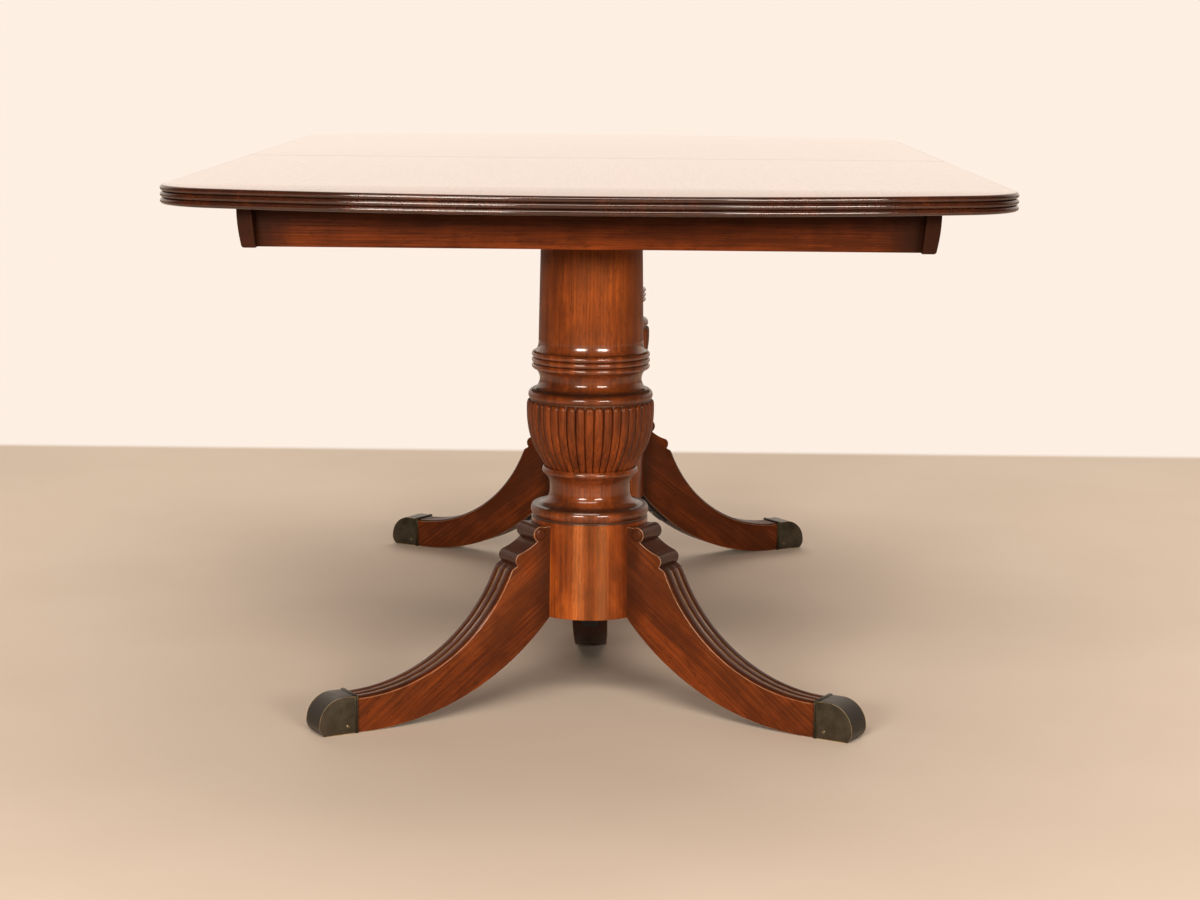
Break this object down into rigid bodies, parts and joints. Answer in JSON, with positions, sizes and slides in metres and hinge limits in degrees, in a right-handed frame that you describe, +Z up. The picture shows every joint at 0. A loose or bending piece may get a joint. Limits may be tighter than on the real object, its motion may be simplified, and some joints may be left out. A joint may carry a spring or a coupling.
{
  "type": "double pedestal dining table",
  "caption": "Extending mahogany dining table with a reeded bow-ended top on two turned urn columns, each with reeded sabre legs and brass toe caps.",
  "frame": {"origin": "on the floor under the middle of the closed table", "axes": "+Z up, +Y along the table from the front half to the rear half, +X across it to the right"},
  "size_m": [1.082, 1.85, 0.74],
  "materials": {
    "top_mahogany": "clear high gloss lacquer over figured mahogany",
    "mahogany": "satin gloss lacquer, darker glaze in the recesses",
    "runner_maple": "waxed hard maple",
    "plain_wood": "unfinished secondary wood",
    "aged_brass": "dark patina, worn bright on the edges",
    "black_iron": "blackened forged iron",
    "steel": "zinc plated steel"
  },
  "bodies": {
    "front_half": {"bearer_inner_front": "plain_wood", "bearer_outer_front": "plain_wood", "bearer_screws_front": "steel", "board_bolts_front": "steel", "column_front": "mahogany", "corner_blocks_front": "plain_wood", "end_apron_front": "mahogany", "latch_plate_left": "steel", "latch_plate_right": "steel", "latch_rivets": "steel", "latch_screws": "steel", "leg_inner_front": "mahogany", "leg_left_front": "mahogany", "leg_right_front": "mahogany", "pedestal_board_front": "plain_wood", "runner_front_left": "runner_maple", "runner_front_right": "runner_maple", "runner_screws_front": "steel", "seam_dowels": "runner_maple", "side_rail_front_left": "mahogany", "side_rail_front_right": "mahogany", "strap_front": "black_iron", "strap_screws_front": "steel", "toe_cap_inner_front": "aged_brass", "toe_cap_left_front": "aged_brass", "toe_cap_right_front": "aged_brass", "toe_pins_front": "aged_brass", "top_front": "top_mahogany"},
    "rear_half": {"bearer_inner_rear": "plain_wood", "bearer_outer_rear": "plain_wood", "bearer_screws_rear": "steel", "board_bolts_rear": "steel", "column_rear": "mahogany", "corner_blocks_rear": "plain_wood", "end_apron_rear": "mahogany", "keeper_screws": "steel", "latch_keeper_left": "steel", "latch_keeper_right": "steel", "leg_inner_rear": "mahogany", "leg_left_rear": "mahogany", "leg_right_rear": "mahogany", "pedestal_board_rear": "plain_wood", "runner_rear_left": "runner_maple", "runner_rear_right": "runner_maple", "runner_screws_rear": "steel", "side_rail_rear_left": "mahogany", "side_rail_rear_right": "mahogany", "strap_rear": "black_iron", "strap_screws_rear": "steel", "toe_cap_inner_rear": "aged_brass", "toe_cap_left_rear": "aged_brass", "toe_cap_right_rear": "aged_brass", "toe_pins_rear": "aged_brass", "top_rear": "top_mahogany"},
    "middle_runner_left": {"runner_middle_left": "runner_maple"},
    "middle_runner_right": {"runner_middle_right": "runner_maple"},
    "latch_lever_left": {"latch_lever_left": "steel"},
    "latch_lever_right": {"latch_lever_right": "steel"}
  },
  "joints": [
    {"name": "extension", "type": "slide", "parent": "front_half", "child": "rear_half", "axis": [0, 1, 0], "range_m": [0, 0.625]},
    {"name": "middle_left", "type": "slide", "parent": "front_half", "child": "middle_runner_left", "axis": [0, 1, 0], "range_m": [0, 0.3125]},
    {"name": "middle_right", "type": "slide", "parent": "front_half", "child": "middle_runner_right", "axis": [0, 1, 0], "range_m": [0, 0.3125]},
    {"name": "latch_left", "type": "hinge", "parent": "front_half", "child": "latch_lever_left", "pos_m": [-0.402, -0.022, 0.7116], "axis": [0, 0, 1], "range_deg": [0, 90]},
    {"name": "latch_right", "type": "hinge", "parent": "front_half", "child": "latch_lever_right", "pos_m": [0.402, -0.022, 0.7116], "axis": [0, 0, -1], "range_deg": [0, 90]}
  ],
  "couplings": [
    {"joint": "middle_left", "follows": "extension", "ratio": 0.5},
    {"joint": "middle_right", "follows": "extension", "ratio": 0.5}
  ]
}
